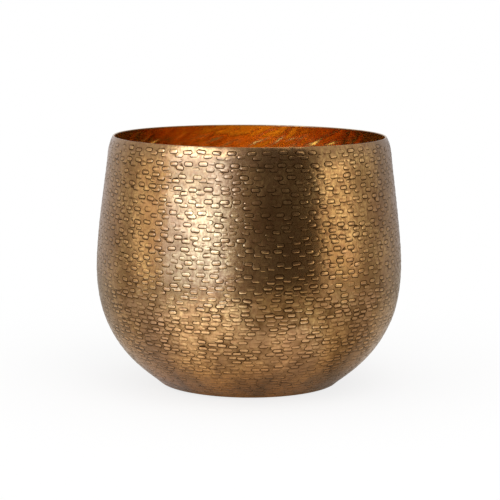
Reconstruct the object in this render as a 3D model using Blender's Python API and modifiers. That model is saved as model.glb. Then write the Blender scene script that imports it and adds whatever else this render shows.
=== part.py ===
# Hammered brass table vase: a raised sheet wall, a base pan lapped inside its foot, the brazed
# seam that closes the lap from below, and four felt pads that the vase stands on.
# Lengths are in metres, +Z is up, the vase's axis is Z and the pads stand on z = 0.

import math

import bpy

# Wall, outside face, heights counted from the foot
belly_radius = 0.1250
belly_height = 0.0942
foot_radius = 0.0732
foot_slope = math.radians(37.0)
foot_straight = 0.0110
wall_height = 0.2020
mouth_radius = 0.1110
shoulder_radius = 0.1154
shoulder_drop = 0.0130
shoulder_taper = math.radians(5.8)
lip_lean = math.radians(32.0)

# How far each curve keeps the direction that it leaves its end with
fullness_at_foot = 0.0335
fullness_under_belly = 0.0403
fullness_over_belly = 0.0290
fullness_at_shoulder = 0.0285

# Sheet, joints and edges
wall_sheet = 0.0014
pan_sheet = 0.0016
lap_length = 0.0080
pan_bend_radius = 0.0030
joint_gap = 0.0003
lip_round = 0.0005
pan_edge_round = 0.0004

# Felt pads under the base
pad_count = 4
pad_radius = 0.0090
pad_thickness = 0.0015
pad_edge_round = 0.0004
pad_inset = 0.0060

# Fineness of the turned surfaces
turn_steps = 96
curve_points = 8
lip_points = 4
bend_points = 4
pad_sides = 24

# Levels and places worked out from the sizes above
foot_level = pad_thickness + joint_gap
lap_offset = wall_sheet + joint_gap


def clear_scene():
    """Take out whatever the scene held before."""
    for scene_object in list(bpy.data.objects):
        bpy.data.objects.remove(scene_object, do_unlink=True)


def finish(name, colour, metallic, roughness):
    """A plain finish: its colour, how metallic it is and how rough."""
    material = bpy.data.materials.new(name)
    material.use_nodes = True
    shader = material.node_tree.nodes["Principled BSDF"]
    shader.inputs["Base Color"].default_value = (*colour, 1.0)
    shader.inputs["Metallic"].default_value = metallic
    shader.inputs["Roughness"].default_value = roughness
    return material


def along(start, angle, distance):
    """The point at a distance from start, at an angle up from level."""
    return (start[0] + distance * math.cos(angle), start[1] + distance * math.sin(angle))


def curve(start, start_handle, end_handle, end, count):
    """Points on one cubic curve, without its first point."""
    points = []
    for step in range(1, count + 1):
        t = step / count
        weights = ((1 - t) ** 3, 3 * t * (1 - t) ** 2, 3 * t ** 2 * (1 - t), t ** 3)
        corners = (start, start_handle, end_handle, end)
        points.append(tuple(sum(w * p[axis] for w, p in zip(weights, corners)) for axis in (0, 1)))
    return points


def wall_outline():
    """The wall's outside, as (radius, height) from the lip down to the foot."""
    upright = math.pi / 2
    foot = (foot_radius, foot_level)
    cone_top = along(foot, foot_slope, foot_straight)
    belly = (belly_radius, foot_level + belly_height)
    shoulder = (shoulder_radius, foot_level + wall_height - shoulder_drop)
    lip = (mouth_radius, foot_level + wall_height)
    lip_reach = math.dist(shoulder, lip) / 3

    outline = [foot, cone_top]
    outline += curve(
        cone_top,
        along(cone_top, foot_slope, fullness_at_foot),
        along(belly, -upright, fullness_under_belly),
        belly,
        curve_points,
    )
    outline += curve(
        belly,
        along(belly, upright, fullness_over_belly),
        along(shoulder, upright + shoulder_taper, -fullness_at_shoulder),
        shoulder,
        curve_points,
    )
    outline += curve(
        shoulder,
        along(shoulder, upright + shoulder_taper, lip_reach),
        along(lip, upright + lip_lean, -lip_reach),
        lip,
        lip_points,
    )
    return outline[::-1]


def pan_outline():
    """The pan's outside, from the flange's edge down its slope and in along the flat to the axis."""
    # The flange lies along the wall's straight foot, one sheet and one gap inside it
    corner_radius = foot_radius - lap_offset / math.sin(foot_slope)
    bend_reach = pan_bend_radius * math.tan(foot_slope / 2)
    bend_start = corner_radius - bend_reach
    corner = (corner_radius, foot_level)
    flange_edge = along(corner, foot_slope, bend_reach + lap_length)

    outline = [flange_edge]
    for step in range(bend_points + 1):
        angle = foot_slope * (1 - step / bend_points)
        outline.append(
            (
                bend_start + pan_bend_radius * math.sin(angle),
                foot_level + pan_bend_radius * (1 - math.cos(angle)),
            )
        )
    outline.append((0.0, foot_level))
    return outline


def seam_outline():
    """The filler's section: the groove between the wall's cut edge and the pan, less the gaps."""
    # The pan's slope bounds it on the inside and the wall's square-cut edge on the outside
    inner_foot = (foot_radius - wall_sheet / math.sin(foot_slope), foot_level)
    outer_foot = (foot_radius - joint_gap / math.cos(foot_slope), foot_level)
    width = outer_foot[0] - inner_foot[0]
    crest = along(inner_foot, foot_slope, width * math.cos(foot_slope))
    return [crest, outer_foot, inner_foot]


def turned(name, outline, material, closed=False):
    """An outline turned once round the Z axis."""
    mesh = bpy.data.meshes.new(name)
    corners = [(radius, 0.0, height) for radius, height in outline]
    edges = [(index, index + 1) for index in range(len(corners) - 1)]
    if closed:
        edges.append((len(corners) - 1, 0))
    mesh.from_pydata(corners, edges, [])
    mesh.materials.append(material)
    piece = bpy.data.objects.new(name, mesh)
    vase.objects.link(piece)

    turn = piece.modifiers.new("Turn", "SCREW")
    turn.axis = "Z"
    turn.steps = turn_steps
    turn.render_steps = turn_steps
    turn.use_merge_vertices = True
    turn.merge_threshold = 0.00001
    turn.use_smooth_shade = True
    return piece


def sheet_metal(piece, thickness, edge_round):
    """Give a turned surface its sheet thickness, on the inside, and round its cut edges."""
    shell = piece.modifiers.new("Sheet", "SOLIDIFY")
    shell.thickness = thickness
    shell.offset = -1.0
    shell.use_even_offset = True

    rounding = piece.modifiers.new("Rounded edges", "BEVEL")
    rounding.width = edge_round
    rounding.segments = 2
    rounding.limit_method = "ANGLE"
    rounding.angle_limit = math.radians(60.0)


def build_wall():
    """The raised wall: an open ring of sheet from the foot to the lip."""
    brass = finish("Aged hammered brass", (0.36, 0.20, 0.075), 1.0, 0.34)
    wall = turned("hammered_wall", wall_outline(), brass)
    sheet_metal(wall, wall_sheet, lip_round)


def build_pan():
    """The base pan: a flat floor with a flange turned up inside the wall's foot."""
    brass = finish("Lacquered brass floor", (0.45, 0.20, 0.05), 1.0, 0.38)
    pan = turned("base_pan", pan_outline(), brass)
    sheet_metal(pan, pan_sheet, pan_edge_round)


def build_seam():
    """The ring of brazing filler that closes the lap from below."""
    filler = finish("Brazing filler", (0.50, 0.36, 0.16), 1.0, 0.45)
    turned("braze_seam", seam_outline(), filler, closed=True)


def build_pads():
    """The felt pads, spread evenly round the base inside the seam."""
    felt = finish("Brown felt", (0.055, 0.038, 0.028), 0.0, 0.95)
    circle_radius = foot_radius - pad_inset - pad_radius
    for index in range(pad_count):
        angle = 2 * math.pi * (index + 0.5) / pad_count
        centre = (circle_radius * math.cos(angle), circle_radius * math.sin(angle), pad_thickness / 2)
        bpy.ops.mesh.primitive_cylinder_add(
            vertices=pad_sides, radius=pad_radius, depth=pad_thickness, location=centre
        )
        pad = bpy.context.object
        pad.name = f"felt_pad_{index + 1}"
        pad.data.name = pad.name
        pad.data.materials.append(felt)
        for collection in list(pad.users_collection):
            collection.objects.unlink(pad)
        vase.objects.link(pad)

        rounding = pad.modifiers.new("Rounded edges", "BEVEL")
        rounding.width = pad_edge_round
        rounding.segments = 2
        rounding.limit_method = "ANGLE"
        rounding.angle_limit = math.radians(60.0)
        pad.data.shade_smooth()
        pad.data.set_sharp_from_angle(angle=math.radians(40.0))


clear_scene()
vase = bpy.data.collections.new("Table vase")
bpy.context.scene.collection.children.link(vase)
build_wall()
build_pan()
build_seam()
build_pads()
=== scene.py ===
# %% [markdown]
# # A hammered brass table vase
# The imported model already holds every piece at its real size: the raised wall, the base pan, the
# brazed seam and the felt pads. This lesson dresses them. The wall gets its struck marks as real
# dents in the metal, the inside gets its burnt-gold lacquer, and a small studio lights it all.
# Lengths are in metres and +Z is up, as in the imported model.

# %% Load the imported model
import math
import random

import bpy
import numpy as np
from mathutils import Matrix, Vector, noise
from mathutils.geometry import convex_hull_2d, delaunay_2d_cdt, intersect_point_line


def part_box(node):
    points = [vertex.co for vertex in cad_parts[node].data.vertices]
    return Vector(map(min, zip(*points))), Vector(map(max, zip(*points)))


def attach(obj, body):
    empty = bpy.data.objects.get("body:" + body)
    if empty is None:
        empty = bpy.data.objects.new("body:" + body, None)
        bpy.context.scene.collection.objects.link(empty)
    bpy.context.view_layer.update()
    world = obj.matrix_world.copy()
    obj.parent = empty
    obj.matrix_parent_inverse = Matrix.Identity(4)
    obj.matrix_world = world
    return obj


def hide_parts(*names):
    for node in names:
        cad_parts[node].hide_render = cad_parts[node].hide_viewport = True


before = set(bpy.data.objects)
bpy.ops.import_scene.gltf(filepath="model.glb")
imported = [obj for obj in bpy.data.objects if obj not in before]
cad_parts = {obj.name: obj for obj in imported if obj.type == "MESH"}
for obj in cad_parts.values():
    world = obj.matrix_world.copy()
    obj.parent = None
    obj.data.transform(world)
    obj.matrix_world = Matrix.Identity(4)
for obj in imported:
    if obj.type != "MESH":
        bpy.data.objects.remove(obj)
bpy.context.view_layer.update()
print("pieces:", ", ".join(sorted(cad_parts)))

# %% [markdown]
# ## The outline of the wall
# The wall is a turned form, so its section says all there is to know about its shape. We read it
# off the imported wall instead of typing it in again: the corners that lie in the XZ plane are the
# section. The outside bulges nearly everywhere, so its corners lie on the convex hull, or within
# a fraction of the sheet's thickness of it.

# %% Read the section of a turned piece
hull_reach = 0.0003        # less than a quarter of the sheet
past_end = 0.01            # how far past the end of a side of the hull a corner still counts


def section_of(node):
    """The corners of a node's section on the +X side, as (radius, height), lowest first."""
    corners = {
        (round(vertex.co.x, 6), round(vertex.co.z, 6))
        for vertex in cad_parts[node].data.vertices
        if abs(vertex.co.y) < 1e-5 and vertex.co.x > 1e-5
    }
    return sorted(corners, key=lambda corner: corner[1])


def outer_side(corners):
    """The corners on the outside of a section, from its lowest point to its highest."""
    hull = [Vector(corners[index]) for index in convex_hull_2d([Vector(corner) for corner in corners])]
    lowest = hull.index(min(hull, key=lambda corner: corner.y))
    hull = hull[lowest:] + hull[:lowest]
    highest = hull.index(max(hull, key=lambda corner: corner.y))
    sides = list(zip(hull[:highest], hull[1:highest + 1]))

    def on_hull(corner):
        spots = (intersect_point_line(Vector(corner), *side) for side in sides)
        return any(
            -past_end < share < 1 + past_end and (Vector(corner) - spot.xy).length < hull_reach
            for spot, share in spots
        )

    return [corner for corner in corners if on_hull(corner)]


wall_section = section_of("hammered_wall")
outline = np.array(outer_side(wall_section))
belly_radius = outline[:, 0].max()
rim_height = outline[:, 1].max()
print("outline corners:", len(outline), "belly radius:", round(belly_radius, 4))

# %% [markdown]
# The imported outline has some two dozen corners, and a polished wall shows every one. A smooth
# curve through them takes the corners away. Along it we also keep two measures: the length walked
# up the wall, and the height on a flat map on which small shapes keep their form. On that map one
# turn round the vase is always as wide as the belly, so near the narrow foot everything is drawn
# larger, in both directions alike, as on a sailor's chart.

# %% Smooth the outline and measure along it
curve_points = 600


def smooth_through(corners, count):
    """Points on a smooth curve through the corners, evenly spread over the corners' own distance."""
    steps = np.linalg.norm(np.diff(corners, axis=0), axis=1)
    place = np.concatenate([[0.0], np.cumsum(steps)])
    slope = np.gradient(corners, place, axis=0)
    wanted = np.linspace(0.0, place[-1], count)
    left = np.clip(np.searchsorted(place, wanted, side="right") - 1, 0, len(steps) - 1)
    span = steps[left][:, None]
    t = ((wanted - place[left])[:, None]) / span
    start, end = corners[left], corners[left + 1]
    return (
        (2 * t**3 - 3 * t**2 + 1) * start
        + (t**3 - 2 * t**2 + t) * span * slope[left]
        + (-2 * t**3 + 3 * t**2) * end
        + (t**3 - t**2) * span * slope[left + 1]
    )


curve = smooth_through(outline[1:-1], curve_points)
steps = np.linalg.norm(np.diff(curve, axis=0), axis=1)
walked = np.concatenate([[0.0], np.cumsum(steps)])
widening = belly_radius * 2 / (curve[1:, 0] + curve[:-1, 0])
map_height = np.concatenate([[0.0], np.cumsum(steps * widening)])
along = np.gradient(curve, walked, axis=0)
along /= np.linalg.norm(along, axis=1)[:, None]
wall_length = walked[-1]
map_width = 2 * math.pi * belly_radius
print("up the wall:", round(wall_length, 4), "map:", round(map_width, 4), "x", round(map_height[-1], 4))

# %% [markdown]
# Three small functions then do all the placing. The first lays points of the flat map on the wall,
# lifted off it or pressed into it. The second says how large the map draws things at one place.
# The third gives the soft waves that the smoothing hammer leaves, with finer dents on them.

# %% Wrap the flat map round the wall
planish_size = 0.024       # how far apart the soft waves of the planishing hammer lie
planish_depth = 0.00030    # how deep they are
dent_size = 0.0075         # the finer dents on them
dent_share = 0.3


def wrap(flat, lift):
    """Map points (x, y) and their lift off the wall, as points in space."""
    turn = flat[:, 0] / belly_radius
    columns = (*curve.T, *along.T)
    radius, height, up_radius, up_height = (np.interp(flat[:, 1], map_height, c) for c in columns)
    radius = radius + up_height * lift
    height = height - up_radius * lift
    return np.column_stack([radius * np.sin(turn), radius * np.cos(turn), height])


def map_scale(y):
    """How many times its real size the map draws a thing at height y."""
    return belly_radius / np.interp(y, map_height, curve[:, 0])


def planished(points, depth):
    """The hammer's soft waves and their finer dents at each point, from -depth to 0."""
    places = [Vector(point) for point in points]
    waves = [
        noise.noise(place / planish_size) + dent_share * noise.noise(place / dent_size)
        for place in places
    ]
    return depth * (np.clip(waves, -1.0, 1.0) - 1.0) / 2


# %% [markdown]
# ## One struck mark
# The marks are struck with a small steel punch whose end is a hollow rectangle with rounded
# corners. It leaves a narrow groove round a little island of metal. We model one mark, once: a
# plane of the punch's size, its corners cut by a bevel, then inset twice, down into the groove
# and up again to the island, which stands above the metal beside it, because the hollow punch
# squeezes metal up inside it. It is poked so that the island swells a little, like a pillow.

# %% Model one mark
mark_width = 0.0080
mark_height = 0.0043
mark_corner = 0.0013
groove_side = 0.00056      # from the groove's edge to its bottom
groove_depth = 0.00021     # below the metal beside the mark
island_rise = 0.00033      # from the groove's bottom to the island
island_swell = 0.00004


def deselect_everything():
    """Leave nothing selected, because an operator acts on all that is."""
    if bpy.context.object and bpy.context.object.mode != "OBJECT":
        bpy.ops.object.mode_set(mode="OBJECT")
    bpy.ops.object.select_all(action="DESELECT")


def struck_mark():
    """One punch mark, flat on the XY plane, as a mesh object."""
    deselect_everything()
    bpy.ops.mesh.primitive_plane_add(size=1.0)
    mark = bpy.context.object
    bpy.ops.object.mode_set(mode="EDIT")
    bpy.ops.mesh.select_all(action="SELECT")
    bpy.ops.transform.resize(value=(mark_width, mark_height, 1.0))
    bpy.ops.mesh.bevel(offset=mark_corner, affect="VERTICES", segments=1)
    bpy.ops.mesh.inset(thickness=groove_side, depth=-groove_depth)
    bpy.ops.mesh.inset(thickness=groove_side, depth=island_rise)
    bpy.ops.mesh.poke(offset=island_swell)
    bpy.ops.object.mode_set(mode="OBJECT")
    return mark


mark = struck_mark()
mark_points = np.array([vertex.co for vertex in mark.data.vertices])
mark_edges = np.array([tuple(edge.vertices) for edge in mark.data.edges])
mark_size = np.abs(mark_points).max(axis=0)
print("one mark:", len(mark_points), "points,", len(mark.data.polygons), "faces")
bpy.data.objects.remove(mark)

# %% [markdown]
# ## Thousands of marks
# A smith works by eye, so we set the blows out from a seeded draw, and leave out each one that
# earlier blows already cover too much. Every blow is filed under the cell of the map that it lies
# in, so that only its neighbours have to be looked at.

# %% Strike one blow
draw = random.Random(27)
lip_band = 0.0040          # plain metal left under the lip
foot_band = 0.0018
upper_from = 0.112         # how far up the wall the open pattern starts
lower_flat = 0.85          # the marks' height on the lower bowl, as a share of the punch's
worn_size = 0.026          # how large the patches are where rubbing has worn the marks down
near_enough = 0.0006       # marks this close are kept from crossing, however they are turned
cell_size = 0.010          # blows are looked up by the cell of the map that they lie in
cells = {}
blows = []


def earlier_blows(x, y, width, height):
    """The earlier blows that this box on the map reaches, each with how far the two overlap."""
    column, row = int(x // cell_size), int(y // cell_size)
    found = []
    for key in ((column + i, row + j) for i in range(-2, 3) for j in range(-2, 3)):
        for other in cells.get(key, ()):
            over_x = (width + other["width"]) / 2 - abs(x - other["x"])
            over_y = (height + other["height"]) / 2 - abs(y - other["y"])
            if min(over_x, over_y) > -near_enough:
                found.append((other, min(max(over_x, 0.0), width) * min(max(over_y, 0.0), height)))
    return found


def strike(turn_x, walk, force, lean, size=1.0, overlap=0.0, toward=None):
    """Add a blow at a map x and a distance up the wall, unless too much of it is covered."""
    if not foot_band + mark_height / 2 < walk < wall_length - lip_band:
        return
    x, y = turn_x % map_width, float(np.interp(walk, walked, map_height))
    scale = map_scale(y) * size
    width = mark_width * scale * draw.uniform(0.93, 1.06)
    height = mark_height * scale * draw.uniform(0.86, 1.1) * (1.0 if walk > upper_from else lower_flat)
    reached = earlier_blows(x, y, width, height)
    if sum(area for other, area in reached) > overlap * width * height:
        return
    softer_low = np.interp(walk, (0.015, 0.065), (0.40, 1.0))
    worn = np.interp(noise.noise(Vector((x, y, 0.0)) / worn_size), (-0.1, 0.4), (1.0, 0.7))
    blow = {
        "x": x,
        "y": y,
        "width": width,
        "height": height,
        "turn": math.radians(draw.gauss(0.0, 3.0)),
        "force": force * float(softer_low * worn),
        "lean": lean,
        "toward": draw.uniform(0.0, 2 * math.pi) if toward is None else toward,
        "over": [other for other, area in reached],
    }
    blows.append(blow)
    for wrapped in (x - map_width, x, x + map_width):
        if -4 * cell_size < wrapped < map_width + 4 * cell_size:
            key = (int(wrapped // cell_size), int(y // cell_size))
            cells.setdefault(key, []).append({**blow, "x": wrapped})


# %% [markdown]
# Rows of full blows run round the upper wall. On the lower bowl the marks are flatter and lie
# packed like bricks, one on the edge of the other.

# %% Rows of full blows
# How each part of the wall is worked: how far apart its rows and its marks lie, how far a mark
# wanders, how many blows are hard ones and how much of a mark may lie over earlier ones
open_pattern = {"rows": 0.0093, "pitch": 0.0122, "wander": 0.0010, "hard": 0.80, "overlap": 0.05}
brick_pattern = {"rows": 0.0038, "pitch": 0.0083, "wander": 0.0014, "hard": 0.45, "overlap": 0.24}


def row_of_places(walk, pitch, wander):
    """Evenly spread places round one row, each a little off."""
    scale = map_scale(float(np.interp(walk, walked, map_height)))
    count = round(map_width / (pitch * scale))
    first = draw.random()
    for index in range(count):
        x = (index + first) * map_width / count + draw.gauss(0.0, wander) * scale
        yield x, walk + draw.gauss(0.0, wander * 0.45)


row_walk = wall_length - lip_band - 0.0006
while row_walk > foot_band + mark_height / 2:
    pattern = open_pattern if row_walk > upper_from + draw.gauss(0.0, 0.002) else brick_pattern
    for x, walk in row_of_places(row_walk, pattern["pitch"], pattern["wander"]):
        hard = draw.random() < pattern["hard"]
        force = draw.uniform(0.75, 1.0) if hard else draw.uniform(0.25, 0.7)
        lean = draw.uniform(0.05, 0.40)
        strike(x, walk, force, lean, 1.0, pattern["overlap"], draw.gauss(-2.0, 0.7))
    row_walk -= pattern["rows"]
print("full blows:", len(blows))

# %% [markdown]
# Beside most marks of the upper wall lies a second one, down and to the left, where the punch
# bounced: it touches the first and caught only its own lower corner. Faint blows fill the gaps.

# %% Bounces and faint blows
bounce_left, bounce_down = 0.0069, 0.0031
bounce_share = 0.92        # how many full blows have one
faint_tries = 9000

for blow in list(blows):
    walk = float(np.interp(blow["y"], map_height, walked))
    if walk > upper_from and draw.random() < bounce_share:
        x = blow["x"] + draw.gauss(bounce_left, 0.0006) * map_scale(blow["y"])
        walk -= draw.gauss(bounce_down, 0.0005)
        force, lean = draw.uniform(0.45, 1.0), draw.uniform(0.3, 0.9)
        strike(x, walk, force, lean, 0.96, 0.36, draw.gauss(-0.8, 0.7))
print("with bounces:", len(blows))

for attempt in range(faint_tries):
    walk = draw.uniform(foot_band, wall_length - lip_band)
    size = draw.choice((0.9, 0.75, 0.6))
    x, force, lean = draw.uniform(0.0, map_width), draw.uniform(0.2, 0.7), draw.uniform(0.2, 0.9)
    strike(x, walk, force, lean, size, 0.15)
print("all blows:", len(blows))

# %% [markdown]
# ## The punched sheet
# Every blow becomes a copy of the mark on the flat map. Where two marks overlap, the earlier one
# is kept whole and the later one gives way, so that no two outlines cross. We find that out by
# clipping each of its edges against the earlier mark's outline, an octagon.

# %% Find where a mark crosses an earlier one
cut_gap = 0.00016          # how close to an earlier mark a later one is kept


def crosses(starts, ends, blow):
    """Which of these stretches of the map run over an earlier mark that the blow reaches."""
    hit = np.zeros(len(starts), bool)
    for other in blow["over"]:
        half = np.array([other["width"], other["height"]]) / 2 + cut_gap
        slanted = (half.sum() - mark_corner * map_scale(other["y"])) / math.sqrt(2)
        angles = other["turn"] + np.arange(8) * math.pi / 4
        sides = np.column_stack([np.cos(angles), np.sin(angles)])
        reach = np.array([half[0], slanted, half[1], slanted] * 2)
        outside = (starts - (other["x"], other["y"])) @ sides.T - reach
        change = (ends - starts) @ sides.T
        with np.errstate(divide="ignore", invalid="ignore"):
            turning = -outside / change
        enter = np.where(change < 0, turning, 0.0).max(axis=1).clip(min=0.0)
        leave = np.where(change > 0, turning, 1.0).min(axis=1).clip(max=1.0)
        never = ((change == 0) & (outside >= 0)).any(axis=1)
        hit |= (enter <= leave) & ~never
    return hit


print("blows that reach an earlier one:", sum(bool(blow["over"]) for blow in blows))

# %% [markdown]
# Each copy is scaled and turned, and pressed unevenly when the punch leaned. With its points go
# how far they lie off the wall and how dark the patina is there: dark in the groove, and bright on
# the island, where the metal is rubbed and a painted highlight is laid on. Copies past both ends of
# the map let the sheet run on across the seam.

# %% Copy the mark for every blow
seam_margin = 0.03
points, lifts, grooves, edges = [], [], [], []
middle = np.abs(mark_points[:, :2]).sum(axis=1) < 1e-6
at_bottom = mark_points[:, 2] < -0.6 * groove_depth
at_rim = np.isclose(mark_points[:, 2], 0.0) & ~middle
groove_shade, island_shade = 1.0, -0.4
ring_shade = np.where(at_bottom, groove_shade, island_shade)
rim_shades = (0.28, 0.13)  # the metal beside a mark, on the lower bowl and above
rim_from = np.interp((upper_from - 0.012, upper_from + 0.004), walked, map_height)


def press(blow, shift):
    """Add one copy of the mark to the map, moved along by shift, less what earlier marks cover."""
    across = mark_points[:, 0] / mark_size[0]
    up = mark_points[:, 1] / mark_size[1]
    tilt = across * math.cos(blow["toward"]) + up * math.sin(blow["toward"])
    local = np.clip(blow["force"] + blow["lean"] * tilt, 0.04, 1.1)
    cos, sin = math.cos(blow["turn"]), math.sin(blow["turn"])
    x = blow["x"] + (across * blow["width"] * cos - up * blow["height"] * sin) / 2
    y = blow["y"] + (across * blow["width"] * sin + up * blow["height"] * cos) / 2
    places = np.column_stack([x, y])
    free = np.where(~crosses(places, places, blow))[0]
    number = np.full(len(x), -1)
    number[free] = len(points) + np.arange(len(free))
    clear = (number[mark_edges] >= 0).all(axis=1)
    clear &= ~crosses(places[mark_edges[:, 0]], places[mark_edges[:, 1]], blow)
    rim_shade = np.interp(blow["y"], rim_from, rim_shades)
    shade = np.where(at_rim, rim_shade, ring_shade) * np.clip(local, 0.0, 1.0)
    points.extend(zip(x[free] + shift, y[free]))
    lifts.extend((mark_points[:, 2] * local)[free])
    grooves.extend(shade[free])
    edges.extend(map(tuple, number[mark_edges[clear]].tolist()))


for blow in blows:
    press(blow, 0.0)
    if blow["x"] < seam_margin:
        press(blow, map_width)
    if blow["x"] > map_width - seam_margin:
        press(blow, -map_width)
print("points of the marks:", len(points))

# %% [markdown]
# The plain metal between the marks has to join thousands of outlines, and filling a face between
# so many holes by hand gives long splinters that a polished surface shows. A triangulation that
# keeps the outlines as fixed edges gives even triangles instead. The sheet's two long edges are
# rings of evenly spread points, so that the lip and the inner face can join them, point to point.

# %% Triangulate the sheet
ring_count = 192
ring_step = map_width / ring_count
ring_margin = round(seam_margin / ring_step)
ring_places = range(-ring_margin, ring_count + ring_margin + 1)
for level in (0.0, map_height[-1]):
    base = len(points)
    points.extend((index * ring_step, level) for index in ring_places)
    lifts.extend([0.0] * len(ring_places))
    grooves.extend([0.0] * len(ring_places))
    edges.extend((base + index, base + index + 1) for index in range(len(ring_places) - 1))

flat_points, _, flat_faces, kept, _, _ = delaunay_2d_cdt(
    [Vector(point) for point in points], edges, [], 0, 1e-7, True
)
flat = np.array(flat_points)
flat_lift = np.array([lifts[source[0]] if source else 0.0 for source in kept])
flat_groove = np.array([grooves[source[0]] if source else 0.0 for source in kept])
highest_island = flat_lift.max()
print("map points:", len(flat), "triangles:", len(flat_faces))

# %% [markdown]
# The sheet runs on past both ends of one turn. Triangles beyond it are dropped, and points past its
# ends give way to their twins inside, so that the seam closes without a trace. Then the sheet is
# wrapped round the wall, pressed in by the soft waves.

# %% Close the seam and wrap the sheet
edge_fade = 0.006          # the waves fade out this near to the foot and the lip


def close_seam(flat, faces):
    """Keep one turn of the map, with the points past its ends replaced by their twins inside."""
    keys = {}
    twin = np.zeros(len(flat), int)
    for index, (x, y) in enumerate(flat):
        key = (round((x % map_width) * 1e6) % round(map_width * 1e6), round(y * 1e6))
        near = [(key[0] + i, key[1] + j) for i in (0, -1, 1) for j in (0, -1, 1)]
        found = next((keys[place] for place in near if place in keys), None)
        if found is None:
            keys[key] = found = index
        twin[index] = found
    kept_faces = []
    met = set()
    for face in faces:
        face_x = sum(flat[index][0] for index in face) / len(face)
        joined = tuple(int(twin[index]) for index in face)
        if -1e-4 <= face_x < map_width + 1e-4 and frozenset(joined) not in met:
            met.add(frozenset(joined))
            kept_faces.append(joined)
    return kept_faces


sheet_faces = close_seam(flat, flat_faces)
used = sorted({index for face in sheet_faces for index in face})
renumber = {index: place for place, index in enumerate(used)}
sheet_faces = [tuple(renumber[index] for index in face) for face in sheet_faces]
flat, flat_lift, flat_groove = flat[used], flat_lift[used], flat_groove[used]
from_edge = np.clip(np.minimum(flat[:, 1], map_height[-1] - flat[:, 1]) / edge_fade, 0.0, 1.0)
waves = planished(wrap(flat, 0.0 * flat_lift), planish_depth) - highest_island
sheet_points = wrap(flat, flat_lift + waves * from_edge)
print("sheet:", len(sheet_points), "points,", len(sheet_faces), "triangles")

# %% [markdown]
# ## Lip, inner face and foot edge
# The sheet metal turns over at the lip, runs down inside and ends at the foot's cut edge. That
# part is plain, so it is made the plain way, as on a lathe: the profile is a chain of edges, and a
# Screw modifier turns it once round the axis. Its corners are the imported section's own.

# %% A lathe for turned pieces
merge_reach = 0.000005     # points this close are one point


def deselect_all_but(piece):
    """Make one object the active one and the only one selected."""
    deselect_everything()
    piece.select_set(True)
    bpy.context.view_layer.objects.active = piece


def linked(name, data):
    """A new object in the scene that shows a mesh, a lamp or a camera."""
    made = bpy.data.objects.new(name, data)
    bpy.context.scene.collection.objects.link(made)
    return made


def mesh_piece(name, points, edges=(), faces=()):
    """A mesh object from points with edges or faces."""
    mesh = bpy.data.meshes.new(name)
    mesh.from_pydata([tuple(point) for point in points], edges, faces)
    return linked(name, mesh)


def modify(piece, kind, **settings):
    """Add a modifier with these settings to a piece, and apply it."""
    deselect_all_but(piece)
    modifier = piece.modifiers.new(kind, kind)
    for name, value in settings.items():
        setattr(modifier, name, value)
    bpy.ops.object.modifier_apply(modifier=modifier.name)


def close_up(piece):
    """Merge doubled points and turn every face outwards."""
    deselect_all_but(piece)
    bpy.ops.object.mode_set(mode="EDIT")
    bpy.ops.mesh.select_all(action="SELECT")
    bpy.ops.mesh.remove_doubles(threshold=merge_reach)
    bpy.ops.mesh.normals_make_consistent(inside=False)
    bpy.ops.object.mode_set(mode="OBJECT")


def turned(name, profile, count):
    """Turn a profile of (radius, height) once round the Z axis."""
    chain = [(0.0, radius, height) for radius, height in profile]
    piece = mesh_piece(name, chain, [(index, index + 1) for index in range(len(chain) - 1)])
    modify(piece, "SCREW", steps=count, render_steps=count, use_merge_vertices=True,
           merge_threshold=merge_reach)
    close_up(piece)
    return piece


def smooth_shaded(piece, angle):
    """Shade a piece smooth, with edges sharper than the angle left sharp."""
    deselect_all_but(piece)
    bpy.ops.object.shade_smooth_by_angle(angle=math.radians(angle))


# %% Turn the back of the wall
def inner_side(corners):
    """The corners of a section that aren't on its outside, from the highest to the lowest."""
    outside = {tuple(corner) for corner in outer_side(corners)}
    return sorted((corner for corner in corners if corner not in outside), key=lambda corner: -corner[1])


wall_inside = inner_side(wall_section)
plain_profile = [tuple(curve[-1]), tuple(outline[-1]), *wall_inside, tuple(outline[0]), tuple(curve[0])]
wall_back = turned("wall_back", plain_profile, ring_count)
print("corners from lip to foot:", len(plain_profile))

# %% [markdown]
# The punched sheet and the plain part share two rings of points. Joined and merged there, they
# are one closed skin of metal. How deep in a groove each point lies rides along on the skin as an
# attribute, a number at every point, for the brass to read later.

# %% Join the punched sheet to the plain part
brass_wall = mesh_piece("brass_wall", sheet_points, faces=sheet_faces)
patina = brass_wall.data.attributes.new("patina", "FLOAT", "POINT")
patina.data.foreach_set("value", flat_groove)
deselect_all_but(brass_wall)
wall_back.select_set(True)
bpy.ops.object.join()
close_up(brass_wall)
smooth_shaded(brass_wall, 75)
modify(brass_wall, "WEIGHTED_NORMAL", mode="FACE_AREA", weight=80, keep_sharp=True)
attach(brass_wall, "root")
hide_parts("hammered_wall")
print("brass wall:", len(brass_wall.data.vertices), "points,", len(brass_wall.data.polygons), "faces")

# %% [markdown]
# ## Base pan and brazed seam
# The base is a shallow pan that sits inside the foot. It is turned from its packed section, with
# rings added across its flat floor, because a hammered floor is never quite flat: the same soft
# waves as on the wall are pressed into it.

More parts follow.
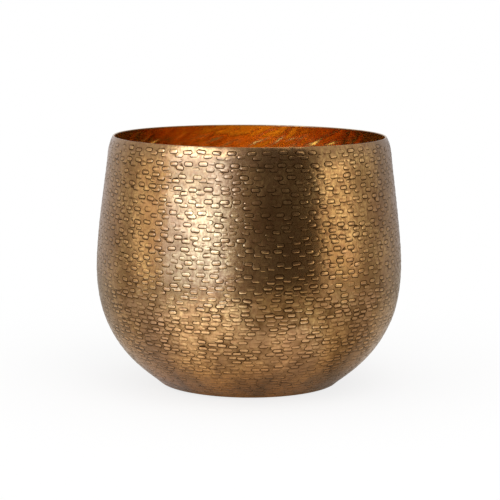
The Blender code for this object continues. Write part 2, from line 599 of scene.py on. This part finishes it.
# %% Turn the base pan
floor_rings = 14
floor_wave = 0.00007
pan_section = section_of("base_pan")
pan_under = outer_side(pan_section)
pan_over = inner_side(pan_section)
pan_steps = [index / floor_rings for index in range(floor_rings)]
under_floor = [(pan_under[0][0] * step, pan_under[0][1]) for step in pan_steps]
over_floor = [(pan_over[-1][0] * step, pan_over[-1][1]) for step in reversed(pan_steps)]
base_pan = turned("brass_base", [*under_floor, *pan_under, *pan_over, *over_floor], ring_count)
for vertex in base_pan.data.vertices:
    radius = math.hypot(vertex.co.x, vertex.co.y)
    fade = min(1.0, max(0.0, (pan_under[0][0] - radius) / planish_size))
    place = Vector((vertex.co.x, vertex.co.y, 0.0)) / planish_size
    vertex.co.z += floor_wave * fade * (1.0 + noise.noise(place))
smooth_shaded(base_pan, 40)
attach(base_pan, "root")
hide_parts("base_pan")
print("base pan:", len(base_pan.data.polygons), "faces")

# %% [markdown]
# Brazing filler runs into the corner between pan and wall and sets as a bead that is never quite
# even. We turn its packed section, round its corners with a bevel and then pull the bead a little
# in and out along its length.

# %% Turn the brazed seam
bead_turns = 288
bead_sizes = ((0.06, 0.0045), (0.03, 0.0016))    # how much the bead swells, over what length
bead_shrink = 0.09         # all swellings together, so that the bead stays inside its groove
seam_corners = section_of("braze_seam")
seam_middle = sum(corner[0] for corner in seam_corners) / len(seam_corners)
braze_bead = turned("braze_bead", [*seam_corners, seam_corners[0]], bead_turns)
modify(braze_bead, "BEVEL", width=0.00022, segments=3, limit_method="ANGLE",
       angle_limit=math.radians(30))
for vertex in braze_bead.data.vertices:
    radius = math.hypot(vertex.co.x, vertex.co.y)
    swell = sum(share * noise.noise(vertex.co / size) for share, size in bead_sizes) - bead_shrink
    grow = 1.0 + (radius - seam_middle) / radius * swell * 2
    vertex.co.x *= grow
    vertex.co.y *= grow
    vertex.co.z += (vertex.co.z - seam_corners[0][1]) * swell
smooth_shaded(braze_bead, 50)
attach(braze_bead, "root")
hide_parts("braze_seam")
print("brazed bead:", len(braze_bead.data.polygons), "faces")

# %% [markdown]
# ## Lacquered inside
# The inside is coated with a burnt-gold lacquer, from the lip down and across the base, after the
# two are joined. Under it every struck mark shows again as a soft swelling, because the punch
# pushes the metal inwards. The coat is its own thin closed film. Its profile follows the inner
# face of the wall, steps over the pan's edge and runs to the middle; then it turns back behind.

# %% Profile of the lacquer film
film_gap = 0.00003
film_coat = 0.00013
lacquer_edge = 0.0007      # how far below the lip the lacquer ends
fine_depth = 0.045         # how far down the film is cut finer, where it is seen over the lip
fine_step, film_step = 0.0009, 0.0023
back_every = 7             # the film's back, which nobody sees, has one ring for this many in front
film_curve_points = 400


def evenly(path, step):
    """The path's points, with even steps of about the given length between them."""
    path = np.array(path)
    lengths = np.linalg.norm(np.diff(path, axis=0), axis=1)
    place = np.concatenate([[0.0], np.cumsum(lengths)])
    wanted = np.linspace(0.0, place[-1], round(place[-1] / step) + 1)
    return np.column_stack([np.interp(wanted, place, column) for column in path.T])


def inward_from(path):
    """The direction to the inside of the vase at each point of the path."""
    along_path = np.gradient(path, axis=0)
    along_path /= np.linalg.norm(along_path, axis=1)[:, None]
    return np.column_stack([along_path[:, 1], -along_path[:, 0]])


pan_lip = max(corner[1] for corner in pan_section)
wall_part = [corner for corner in wall_inside if pan_lip + 0.0005 < corner[1] < rim_height - lacquer_edge]
foot_line = np.array([corner for corner in wall_inside if 0.003 < corner[1] < 0.012])
landing = pan_under[-1][0] + 0.0018
landing_height = float(np.interp(landing, foot_line[::-1, 0], foot_line[::-1, 1]))
wall_curve = smooth_through(np.array(wall_part), film_curve_points)
step_part = [(landing, landing_height), *pan_under[-2:], *pan_over, (0.0, pan_over[-1][1])]
is_fine = wall_curve[:, 1] > rim_height - fine_depth
fine_part = evenly(wall_curve[is_fine], fine_step)
plain_part = evenly([fine_part[-1], *wall_curve[~is_fine], *step_part], film_step)
film_path = np.vstack([fine_part, plain_part[1:]])
film_front = film_path + (film_gap + film_coat) * inward_from(film_path)
film_back = (film_path + film_gap * inward_from(film_path))[::-1][::back_every]
film_front[-1][0] = film_back[0][0] = 0.0
print("rings across the lacquer:", len(film_front), "+", len(film_back))

# %% [markdown]
# The swellings are worked out ring by ring: every blow raises the points near it, most at its
# middle. Over them run slanting ridges, left between the strokes of the hammer that closed the
# inside up again. They are what catches the light over the lip.

# %% Work out the swellings and the ridges
film_turns = 480
swelling = 0.00005
ridge_height = 0.00102
ridge_length, ridge_width = 0.016, 0.0046
ridge_slant = math.radians(24)
ridge_level = 0.15         # the higher it is, the wider the ridges
fall_off, narrowing = 2.2, 1.6    # how fast a swelling dies away, and how much narrower it is
film_rise = np.zeros((len(film_front), film_turns))
film_map = np.interp(film_front[:, 1], curve[:, 1], map_height)
turn_map = np.arange(film_turns) * map_width / film_turns
on_wall = film_front[:, 1] > landing_height + 0.002
for blow in blows:
    rows = np.where(on_wall & (np.abs(film_map - blow["y"]) < blow["height"]))[0]
    apart = (turn_map - blow["x"] + map_width / 2) % map_width - map_width / 2
    columns = np.where(np.abs(apart) < blow["width"])[0]
    reach_up = np.exp(-fall_off * ((film_map[rows] - blow["y"]) / blow["height"] * narrowing) ** 2)
    reach_round = np.exp(-fall_off * (apart[columns] / blow["width"] * narrowing) ** 4)
    film_rise[np.ix_(rows, columns)] += swelling * blow["force"] * np.outer(reach_up, reach_round)


def ridges(point):
    """The height of the slanting ridges at a point of the film."""
    around = math.atan2(point[0], point[1]) * belly_radius
    along_ridge = around * math.cos(ridge_slant) + point[2] * math.sin(ridge_slant)
    over_ridge = point[2] * math.cos(ridge_slant) - around * math.sin(ridge_slant)
    seam_fade = min(1.0, (math.pi * belly_radius - abs(around)) / planish_size)
    wave = noise.noise(Vector((along_ridge / ridge_length, over_ridge / ridge_width, 0.0)))
    return ridge_height * seam_fade * max(0.0, wave + ridge_level)


print("highest swelling, in millimetres:", round(film_rise.max() * 1000, 3))

# %% [markdown]
# The film is turned like the back of the wall. Then each point of its front moves inwards by the
# swelling at its place, by the ridges, and by the same soft waves as the wall's.

# %% Turn the film and raise it
rise_fade = 0.004          # over this length from the film's edge everything on it fades in
lining = turned("lacquer_lining", [*film_front, *film_back, film_front[0]], film_turns)
inward = inward_from(film_front)
film_points = np.empty(3 * len(lining.data.vertices))
lining.data.vertices.foreach_get("co", film_points)
film_points = film_points.reshape(-1, 3)
film_radii = np.hypot(film_points[:, 0], film_points[:, 1])
off_ring = np.abs(film_radii[:, None] - film_front[:, 0])
off_ring += np.abs(film_points[:, 2][:, None] - film_front[:, 1])
for index, ring in enumerate(off_ring.argmin(axis=1)):
    point, radius = film_points[index], film_radii[index]
    if ring and off_ring[index, ring] < film_coat / 4:
        column = round(math.atan2(point[0], point[1]) / (2 * math.pi) * film_turns) % film_turns
        fade = min(1.0, ring * fine_step / rise_fade)
        rise = planish_depth * fade * (1.0 + noise.noise(Vector(point) / planish_size))
        if on_wall[ring]:
            rise += fade * ridges(point)
        step_out, step_up = inward[ring] * (rise + film_rise[ring, column])
        point[:2] *= 1 + step_out / max(radius, 1e-6)
        point[2] += step_up
lining.data.vertices.foreach_set("co", film_points.ravel())
smooth_shaded(lining, 60)
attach(lining, "root")
print("lacquer film:", len(lining.data.vertices), "points,", len(lining.data.polygons), "faces")

# %% [markdown]
# ## Felt pads
# Four discs of pressed felt keep the brass off the table. One is modelled, from a cylinder of the
# packed pad's size, and copied. Its edges are bevelled, because felt frays round where it was
# punched out, and its faces are inset and cut finer. In each copy every point is then drawn in a
# little by noise, for the nap, so that no two pads are quite alike.

# %% Model one felt pad
pad_low, pad_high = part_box("felt_pad_1")
pad_size = Vector(pad_high) - Vector(pad_low)
pad_rings, pad_ring_width = 6, 0.0012


def felt_disc():
    """A felt disc round the origin, before its nap."""
    deselect_everything()
    bpy.ops.mesh.primitive_cylinder_add(vertices=64, radius=pad_size.x / 2, depth=pad_size.z)
    disc = bpy.context.object
    bpy.ops.object.mode_set(mode="EDIT")
    bpy.ops.mesh.select_all(action="SELECT")
    bpy.ops.mesh.bevel(offset=0.00045, segments=3, affect="EDGES")
    for ring in range(pad_rings):
        bpy.ops.mesh.select_all(action="DESELECT")
        bpy.ops.object.mode_set(mode="OBJECT")
        for face in sorted(disc.data.polygons, key=lambda face: -face.area)[:2]:
            face.select = True
        bpy.ops.object.mode_set(mode="EDIT")
        bpy.ops.mesh.inset(thickness=pad_ring_width, use_individual=True)
    bpy.ops.mesh.poke()
    bpy.ops.object.mode_set(mode="OBJECT")
    return disc


disc = felt_disc()
print("felt disc:", len(disc.data.polygons), "faces")

# %% Copy it to the four places
felt_nap = 0.00012
nap_size = 0.0011
pads = []
for number in range(1, 5):
    node = f"felt_pad_{number}"
    low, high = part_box(node)
    pad = linked(f"wool_pad_{number}", disc.data.copy())
    pad.data.transform(Matrix.Translation((Vector(low) + Vector(high)) / 2))
    for vertex in pad.data.vertices:
        nap = felt_nap * (0.5 + 0.5 * noise.noise(vertex.co / nap_size))
        vertex.co -= vertex.normal * nap
    smooth_shaded(pad, 60)
    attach(pad, "root")
    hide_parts(node)
    pads.append(pad)
bpy.data.objects.remove(disc)
print("felt pads:", len(pads))

# %% [markdown]
# ## Materials
# One helper adds a node, with its settings and its links, and two more start a material and put
# it on. Inputs go by name, or as a list from the node's top: a MapRange node takes a value, the two
# ends of its range, and what they become. A Mix node has its sockets once for each kind of data, so
# they go by number: 0 is the share, 6 and 7 are two colours, 2 and 3 two plain numbers. Colours are
# written as sRGB hex and turned into the linear light that the renderer counts in.

# %% Material helpers
def linear(hex_colour):
    """An sRGB hex colour as linear red, green, blue and alpha."""
    channels = [int(hex_colour[start:start + 2], 16) / 255 for start in (1, 3, 5)]
    return (*(c / 12.92 if c <= 0.04045 else ((c + 0.055) / 1.055) ** 2.4 for c in channels), 1.0)


def node_adder(tree):
    """A function that adds nodes to this tree."""

    def add(kind, inputs=(), **settings):
        """Add a node. An input is a value, a hex colour, a socket, or a node for its first output."""
        node = tree.nodes.new("ShaderNode" + kind)
        for name, value in settings.items():
            setattr(node, name, value)
        for name, value in inputs.items() if isinstance(inputs, dict) else enumerate(inputs):
            if isinstance(value, bpy.types.Node):
                value = next(socket for socket in value.outputs if socket.enabled)
            if isinstance(value, bpy.types.NodeSocket):
                tree.links.new(value, node.inputs[name])
            else:
                node.inputs[name].default_value = linear(value) if isinstance(value, str) else value
        return node

    return add


def start_material(name):
    """An empty material, its node adder, and the object's own coordinates to place patterns by."""
    material = bpy.data.materials.new(name)
    material.use_nodes = True
    material.node_tree.nodes.clear()
    add = node_adder(material.node_tree)
    return material, add, add("TexCoord").outputs["Object"]


def put_on(material, shader, pieces):
    """Make the shader the material's surface, and put the material on the pieces."""
    node_adder(material.node_tree)("OutputMaterial", {"Surface": shader})
    for piece in pieces:
        piece.data.materials.append(material)
    print("material:", material.name, "with", len(material.node_tree.nodes), "nodes")


def per_size(metres):
    """The scale at which a noise pattern's features are about this large."""
    return 1.0 / metres


# %% [markdown]
# ## Antiqued hammered brass
# Yellow brass, darkened with a brown patina and rubbed back, so that the raised metal shines and
# the struck grooves stay dark. The raised islands are also lightened as a painted highlight, and a
# grey painted reflection lies where the wall is seen at a glancing angle. Years and handling leave
# it in patches, from ochre through brown to a faint rose, with tan brown near the foot. Sizes:
# patches of 50 mm and 28 mm, runs of patina of 20 mm, mottling of 3 mm, and rubbing marks of
# 1.4 mm. Rubbing marks and runs are drawn out upright, because the vase was rubbed up and down and
# the patina ran.

# %% Patterns of the wall's brass
brass, add, place = start_material("antiqued_hammered_brass")
drawn_out = add("Mapping", {"Vector": place, "Scale": (1.0, 1.0, 0.35)})
# For each: the coordinates it reads, its size, and its detail, roughness and distortion
noises = (
    (place, 0.050, 3.0, 0.55, 0.0),
    (place, 0.028, 4.0, 0.50, 0.6),
    (drawn_out, 0.020, 4.0, 0.60, 0.4),
    (place, 0.003, 5.0, 0.65, 0.0),
    (drawn_out, 0.0014, 3.0, 0.50, 0.0),
)
patches, bloom, runs, mottle, rubbing = (
    add("TexNoise", {"Vector": where, "Scale": per_size(size), "Detail": detail,
                     "Roughness": roughness, "Distortion": distortion})
    for where, size, detail, roughness, distortion in noises
)
groove = add("Attribute", attribute_name="patina").outputs["Fac"]
height = add("SeparateXYZ", [place]).outputs["Z"]
facing_away = add("LayerWeight").outputs["Facing"]
print("patterns of the brass:", len(brass.node_tree.nodes), "nodes so far")

# %% [markdown]
# Each pattern becomes a share from 0 to 1 that says where one colour lies. The colours then go on
# in the order in which the metal got them: its own ochre and brown, the patina, the rubbing that
# brightens the islands, the runs, and the grime in the grooves. The islands' brightening is also a
# painted highlight. Last comes a pale painted reflection, a grey sheen that shows at a glancing
# angle and fades out towards the foot.

# %% Where each colour lies
browned = add("MapRange", [patches, 0.36, 0.64])
rosy = add("MapRange", [bloom, 0.54, 0.72])
dulled = add("MapRange", [mottle, 0.38, 0.66])
grained = add("MapRange", [rubbing, 0.4, 0.7, 0.0, 0.5])
rubbed_and_highlit = add("MapRange", [groove, 0.0, island_shade])
low_down = add("MapRange", [height, 0.085, 0.01])
in_runs = add("MapRange", [runs, 0.45, 0.61, 0.0, 0.9])
mostly_low = add("MapRange", [low_down, 0.0, 1.0, 0.35])
run_down = add("Math", [in_runs, mostly_low], operation="MULTIPLY")
grime = add("Math", [groove, mottle], operation="MULTIPLY")
in_grooves = add("MapRange", [grime, 0.02, 0.24])
# Painted reflection: a grey sheen where the wall is seen at a glancing angle, less of it towards the foot
glancing = add("MapRange", [facing_away, 0.50, 0.84, 0.0, 0.55])
sheen_less_low = add("MapRange", [low_down, 0.0, 1.0, 1.0, 0.1])
glancing_sheen = add("Math", [glancing, sheen_less_low], operation="MULTIPLY")
print("with the shares:", len(brass.node_tree.nodes), "nodes")

# %% Lay the colours on
ochre, brown = "#C29A5C", "#8A6633"
tan = add("Mix", {0: browned, 6: "#A0682A", 7: "#74491F"}, data_type="RGBA")
rub_and_highlight_tint = (1.34, 1.40, 1.6, 1.0)      # rubbed metal is lighter and less yellow; this also paints a highlight on the islands
colour_layers = (
    (rosy, "#A27848", "MIX"),
    (dulled, "#875E32", "MIX"),
    (low_down, tan, "MIX"),
    (grained, "#7A4C20", "MIX"),
    # painted highlight: the rubbed islands are lightened further and made whiter
    (rubbed_and_highlit, rub_and_highlight_tint, "MULTIPLY"),
    (run_down, "#6A451E", "MIX"),
    (in_grooves, "#301C0A", "MIX"),
    # painted reflection: the grey sheen at a glancing angle
    (glancing_sheen, "#A8957E", "MIX"),
)
colour = add("Mix", {0: browned, 6: ochre, 7: brown}, data_type="RGBA")
for share, paint, blend in colour_layers:
    colour = add("Mix", {0: share, 6: colour, 7: paint}, data_type="RGBA", blend_type=blend)
print("colours laid on:", len(colour_layers) + 1)

# %% [markdown]
# A thin clear varnish over the metal adds a second, white reflection, which whitens the
# highlights. It is thicker under the lip, where the photograph's highlight is whitest, worn near
# the foot, and missing in the grooves. The metal is smoother where it is clean than in the
# grooves, and two bumps too fine for the mesh, from the hammer and the rubbing, break its mirror.

# %% Varnish, roughness and bumps of the wall's brass
varnish = add("MapRange", [in_grooves, 0.0, 0.6, 0.27, 0.0])
worn_low = add("MapRange", [low_down, 0.0, 1.0, 1.0, 0.3])
thick_high = add("MapRange", [height, 0.184, 0.199, 1.0, 1.7])
worn_varnish = add("Math", [varnish, worn_low], operation="MULTIPLY")
all_varnish = add("Math", [worn_varnish, thick_high], operation="MULTIPLY")
rough = add("MapRange", [mottle, 0.3, 0.7, 0.17, 0.27])
rougher = add("MapRange", [in_grooves, 0.0, 1.0, 0.0, 0.25])
all_rough = add("Math", [rough, rougher], operation="ADD")
peened = add("Bump", {"Height": mottle, "Strength": 0.3, "Distance": 0.00016})
scratched = add("Bump", {"Height": rubbing, "Strength": 0.3, "Distance": 0.00012, "Normal": peened})
put_on(brass, add("BsdfPrincipled", {
    "Base Color": colour,
    "Metallic": 1.0,
    "Roughness": all_rough,
    "Normal": scratched,
    "Specular Tint": "#F2E6D6",
    "Coat Weight": all_varnish,
    "Coat Roughness": 0.25,
    "Coat IOR": 1.6,
}), [brass_wall])

# %% [markdown]
# ## Brushed base brass and brazing alloy
# The base was only planished and brushed, so its brass is lighter and smoother, with a fine haze
# of heat stain near the seam. The filler is a paler alloy with more silver in it, left as it ran,
# with dark flux in its ripples.

# %% The brass of the base
base_brass, add, place = start_material("brushed_base_brass")
stain = add("TexNoise", {"Vector": place, "Scale": per_size(0.022), "Detail": 5.0, "Distortion": 0.8})
grain = add("TexNoise", {"Vector": place, "Scale": per_size(0.0012), "Detail": 3.0})
stained = add("MapRange", [stain, 0.4, 0.66])
put_on(base_brass, add("BsdfPrincipled", {
    "Base Color": add("Mix", {0: stained, 6: "#B4905A", 7: "#7A5636"}, data_type="RGBA"),
    "Metallic": 1.0,
    "Roughness": add("MapRange", [stain, 0.0, 1.0, 0.26, 0.46]),
    "Normal": add("Bump", {"Height": grain, "Strength": 0.3, "Distance": 0.00008}),
}), [base_pan])

# %% The alloy of the seam
alloy, add, place = start_material("brazing_alloy")
ripple = add("TexNoise", {"Vector": place, "Scale": per_size(0.0016), "Detail": 4.0})
flux = add("TexNoise", {"Vector": place, "Scale": per_size(0.006), "Detail": 4.0})
fluxed = add("MapRange", [flux, 0.52, 0.7])
put_on(alloy, add("BsdfPrincipled", {
    "Base Color": add("Mix", {0: fluxed, 6: "#C9AC78", 7: "#6B5743"}, data_type="RGBA"),
    "Metallic": 1.0,
    "Roughness": 0.38,
    "Normal": add("Bump", {"Height": ripple, "Strength": 0.6, "Distance": 0.00015}),
}), [braze_bead])

# %% [markdown]
# ## Burnt-gold lacquer
# A transparent orange lacquer over bright sheet: the metal under it gives the mirror, the lacquer
# gives the colour, deeper each time light bounces across the bowl. It was brushed on, so it holds
# faint upright strokes about 4 mm wide, and its hue drifts over some 35 mm.

# %% The lacquer of the inside
lacquer, add, place = start_material("burnt_gold_lacquer")
cloud = add("TexNoise", {"Vector": place, "Scale": per_size(0.035), "Detail": 3.0})
upright = add("Mapping", {"Vector": place, "Scale": (1.0, 1.0, 0.3)})
strokes = add("TexNoise", {"Vector": upright, "Scale": per_size(0.004), "Detail": 1.0})
deep = add("MapRange", [cloud, 0.35, 0.65])
put_on(lacquer, add("BsdfPrincipled", {
    "Base Color": add("Mix", {0: deep, 6: "#E9B552", 7: "#DEA646"}, data_type="RGBA"),
    "Metallic": 1.0,
    "Roughness": add("MapRange", [strokes, 0.3, 0.7, 0.20, 0.26]),
    "Normal": add("Bump", {"Height": strokes, "Strength": 0.03, "Distance": 0.0002}),
    "Coat Weight": 0.06,
    "Coat Roughness": 0.2,
}), [lining])

# %% [markdown]
# ## Pressed wool felt
# Felt is a mat of wool fibres: dark, dull and a little lighter at a glancing angle, where the nap
# catches light. Fibres are finer than the render can show, so the clumps are drawn at 0.9 mm.

# %% The felt
felt, add, place = start_material("pressed_wool_felt")
clumps = add("TexNoise", {"Vector": place, "Scale": per_size(0.0009), "Detail": 6.0,
                          "Roughness": 0.7})
put_on(felt, add("BsdfPrincipled", {
    "Base Color": add("Mix", {0: clumps, 6: "#2B211B", 7: "#56463B"}, data_type="RGBA"),
    "Roughness": 0.95,
    "Normal": add("Bump", {"Height": clumps, "Strength": 0.8, "Distance": 0.0003}),
    "Sheen Weight": 0.5,
    "Sheen Roughness": 0.4,
}), pads)

# %% [markdown]
# ## Camera
# The photograph looks down on the vase by almost nine degrees, from about six vase widths away.

# %% Set the camera
camera_distance = 1.5
camera_over = 0.100        # the height that the camera goes round
camera_tilt = math.radians(8.71)
camera_roll = math.radians(0.36)
aim = Vector((0.0008, 0.0, 0.1092))
eye_back = camera_distance * math.cos(camera_tilt)
eye = Vector((0.0, -eye_back, camera_over + camera_distance * math.sin(camera_tilt)))
camera_data = bpy.data.cameras.new("camera")
camera_data.lens = 131.4
camera_data.sensor_width = 36.0
camera_data.clip_start = 0.05
camera = linked("camera", camera_data)
camera.location = eye
camera.rotation_euler = (aim - eye).to_track_quat("-Z", "Y").to_euler()
camera.rotation_euler.rotate_axis("Z", camera_roll)
bpy.context.scene.camera = camera
print("camera at", [round(value, 3) for value in eye])

# %% [markdown]
# ## Studio lamps
# Polished metal is a picture of the room, so the room is most of its look. A tall softbox stands
# to the left, in three parts, because its light is whiter and stronger towards the top. A panel
# on either side lights the edges, two fills keep the grooves from going black, and one softbox
# looks down into the mouth. Lamps that are for the metal alone leave the floor as it is.

# %% Softboxes
def facing(position, target):
    """The rotation of a lamp or card at position that looks at target."""
    return (Vector(target) - Vector(position)).to_track_quat("-Z", "Y").to_euler()


def softbox(name, turn, low, high, distance, width, radiance, colour="#FFFFFF", metal_only=False):
    """An upright area lamp of the given radiance, turn degrees round from the camera towards +X."""
    angle = math.radians(turn)
    position = (distance * math.sin(angle), -distance * math.cos(angle), (low + high) / 2)
    lamp = bpy.data.lights.new(name, "AREA")
    lamp.shape = "RECTANGLE"
    lamp.size = width
    lamp.size_y = high - low
    lamp.energy = radiance * math.pi * width * (high - low)
    lamp.color = linear(colour)[:3]
    holder = linked(name, lamp)
    holder.location = position
    holder.rotation_euler = facing(position, (0.0, 0.0, position[2]))
    holder.visible_camera = False
    holder.visible_diffuse = not metal_only
    return holder


key_parts = (
    ("low", 0.0, 0.18, 5.4, "#90B4FF"),
    ("middle", 0.18, 0.62, 6.8, "#90B4FF"),
    ("high", 0.62, 0.92, 10.5, "#BCD2FF"),
)
for part, low, high, radiance, hue in key_parts:
    softbox("key_softbox_" + part, -39, low, high, 0.85, 0.71, radiance, hue, metal_only=True)
softbox("left_panel", -78, 0.05, 0.32, 1.00, 0.48, 1.3, metal_only=True)
softbox("right_panel", 68, 0.05, 0.32, 1.00, 0.50, 1.35, metal_only=True)
softbox("soft_fill", -50, 0.3, 1.3, 1.30, 1.00, 1.1)
softbox("front_fill", 15, 0.2, 1.2, 1.30, 1.00, 1.1)
mouth_softbox = softbox("mouth_softbox", 30, 0.9, 1.5, 0.60, 0.70, 1.8)
mouth_softbox.rotation_euler = facing(mouth_softbox.location, (0.0, 0.0, 0.18))
print("lamps:", len(bpy.data.lights))

# %% [markdown]
# ## World and cards
# The white world shines as the photographer's white cove. The camera and the metal see it at
# exactly 1, which is white, and it lights the rest a little less. A dark card in front draws the
# dark band down the vase, and two pale cards stand beside it. Only the metal sees them.

# %% The white world
world = bpy.data.worlds.new("white_cove")
world.use_nodes = True
world.node_tree.nodes.clear()
add = node_adder(world.node_tree)
ray = add("LightPath").outputs
in_sight = add("Math", [ray["Is Camera Ray"], ray["Is Glossy Ray"]], operation="MAXIMUM")
seen = add("Math", [in_sight, ray["Is Transmission Ray"]], operation="MAXIMUM")
strength = add("MapRange", [seen, 0.0, 1.0, 0.95])
cove = add("Background", {"Color": "#FFFFFF", "Strength": strength})
add("OutputWorld", {"Surface": cove})
bpy.context.scene.world = world
print("world:", world.name)

# %% Three cards
def stage_plane(name, size, location, rotation):
    """A stage plane that isn't part of the vase."""
    deselect_everything()
    bpy.ops.mesh.primitive_plane_add(size=1.0, location=location, rotation=rotation)
    plane = bpy.context.object
    plane.name = name
    plane.scale = (*size, 1.0)
    return plane


def card(name, size, location, rotation, fade, shades, hue):
    """A card that only the metal sees. Over the fade, a stretch of its own X, its shade changes."""
    plane = stage_plane(name, size, location, rotation)
    plane.visible_camera = False
    plane.visible_diffuse = False
    plane.visible_shadow = False
    paint, add, place = start_material(name + "_paint")
    across = add("SeparateXYZ", [place]).outputs["X"]
    tone = add("MapRange", [across, fade[0] / size[0], fade[1] / size[0], shades[0], shades[1]])
    put_on(paint, add("Emission", {"Color": hue, "Strength": tone}), [plane])


upright_turn = math.radians(90)
front_turn = (upright_turn, 0.0, 0.0)
side_turn = (upright_turn, 0.0, upright_turn)
front_fade, side_fade = (-0.1985, -0.0835), (-0.725, -0.495)
card("front_card", (0.397, 0.49), (0.1435, -0.31, 0.30), front_turn, front_fade, (0.55, 0.14), "#FFF3F0")
for name, side, shades in (("left_card", -1, (0.95, 0.82)), ("right_card", 1, (0.82, 0.60))):
    card(name, (1.45, 0.90), (side * 0.45, 0.795, 0.45), side_turn, side_fade, shades, "#F6F5FF")

# %% [markdown]
# ## Floor
# The floor is pale paper that keeps the vase's shadow and turns into pure white further out. Light
# Path tells the camera's rays from the metal's, because the lower bowl mirrors the floor and so
# gets a brightness of its own there.

# %% Where the floor is white
floor = stage_plane("pale_floor", (120.0, 120.0), (0, 0, 0), (0, 0, 0))
paper, add, _ = start_material("pale_paper")
spot = add("NewGeometry").outputs["Position"]
away = add("VectorMath", [spot], operation="LENGTH")
far_out = add("MapRange", [away, 0.14, 0.45, 0.80], interpolation_type="SMOOTHSTEP")
off_foot = add("MapRange", [away, 0.04, 0.16], interpolation_type="SMOOTHSTEP")
ray = add("LightPath").outputs
mirrored = add("Math", [ray["Is Glossy Ray"], ray["Is Transmission Ray"]], operation="MAXIMUM")
in_metal = add("Math", [off_foot, mirrored], operation="MULTIPLY")
in_view = add("Math", [far_out, ray["Is Camera Ray"]], operation="MULTIPLY")
white_share = add("Math", [in_metal, in_view], operation="MAXIMUM")
print("floor:", floor.name)

# %% [markdown]
# The lamps for the metal alone leave no light on the floor, so their patches on it are drawn, as
# ellipses with a soft edge, and so is the one that the dark card shades. Only the metal sees them.

# %% Light and shaded patches on the floor
# For each: degrees round from the camera, how far out, half its size, and how much brighter it is
floor_patches = (
    (-27, 0.30, (0.20, 0.34), 4.0),
    (-68, 0.38, (0.24, 0.26), 1.5),
    (25, 0.16, (0.080, 0.11), 2.9),
    (68, 0.38, (0.22, 0.26), 0.8),
    (42, 0.10, (0.12, 0.11), -0.40),
)
lit = 0.0
for turn, distance, size, extra in floor_patches:
    angle = math.radians(turn)
    patch_middle = (distance * math.sin(angle), -distance * math.cos(angle), 0.0)
    moved = add("Mapping", {"Vector": spot, "Location": patch_middle, "Rotation": (0.0, 0.0, angle),
                            "Scale": (*size, 1.0)}, vector_type="TEXTURE")
    reach = add("VectorMath", [moved], operation="LENGTH")
    patch = add("MapRange", [reach, 1.0, 0.0, 0.0, extra], interpolation_type="SMOOTHSTEP")
    lit = add("Math", [lit, patch], operation="ADD")
print("patches on the floor:", len(floor_patches))

# %% [markdown]
# The paper is a matt white where it keeps the shadow and a plain glow where it is the background.
# In the metal that glow is dimmer behind the vase, and a little blue on the lit patches, as the
# key softbox is.

# %% The paper and its glow
behind = add("SeparateXYZ", [spot]).outputs["Y"]
dimmer_behind = add("MapRange", [behind, -0.05, 0.3, 1.0, 0.55])
mirror_glow = add("Math", [dimmer_behind, lit], operation="ADD")
glow_strength = add("Mix", {0: mirrored, 2: 1.0, 3: mirror_glow}, data_type="FLOAT")
lit_share = add("Math", [lit, mirrored], operation="MULTIPLY")
glow_colour = add("Mix", {0: lit_share, 6: "#FFFFFF", 7: "#D4E0FF"}, data_type="RGBA")
matt = add("BsdfDiffuse", {"Color": (0.88, 0.88, 0.88, 1.0)})
glow = add("Emission", {"Color": glow_colour, "Strength": glow_strength})
put_on(paper, add("MixShader", [white_share, matt, glow]), [floor])

# %% [markdown]
# ## Finish
# The picture is shown with the plain Standard view.

# %% Finish
bpy.context.scene.view_settings.view_transform = "Standard"
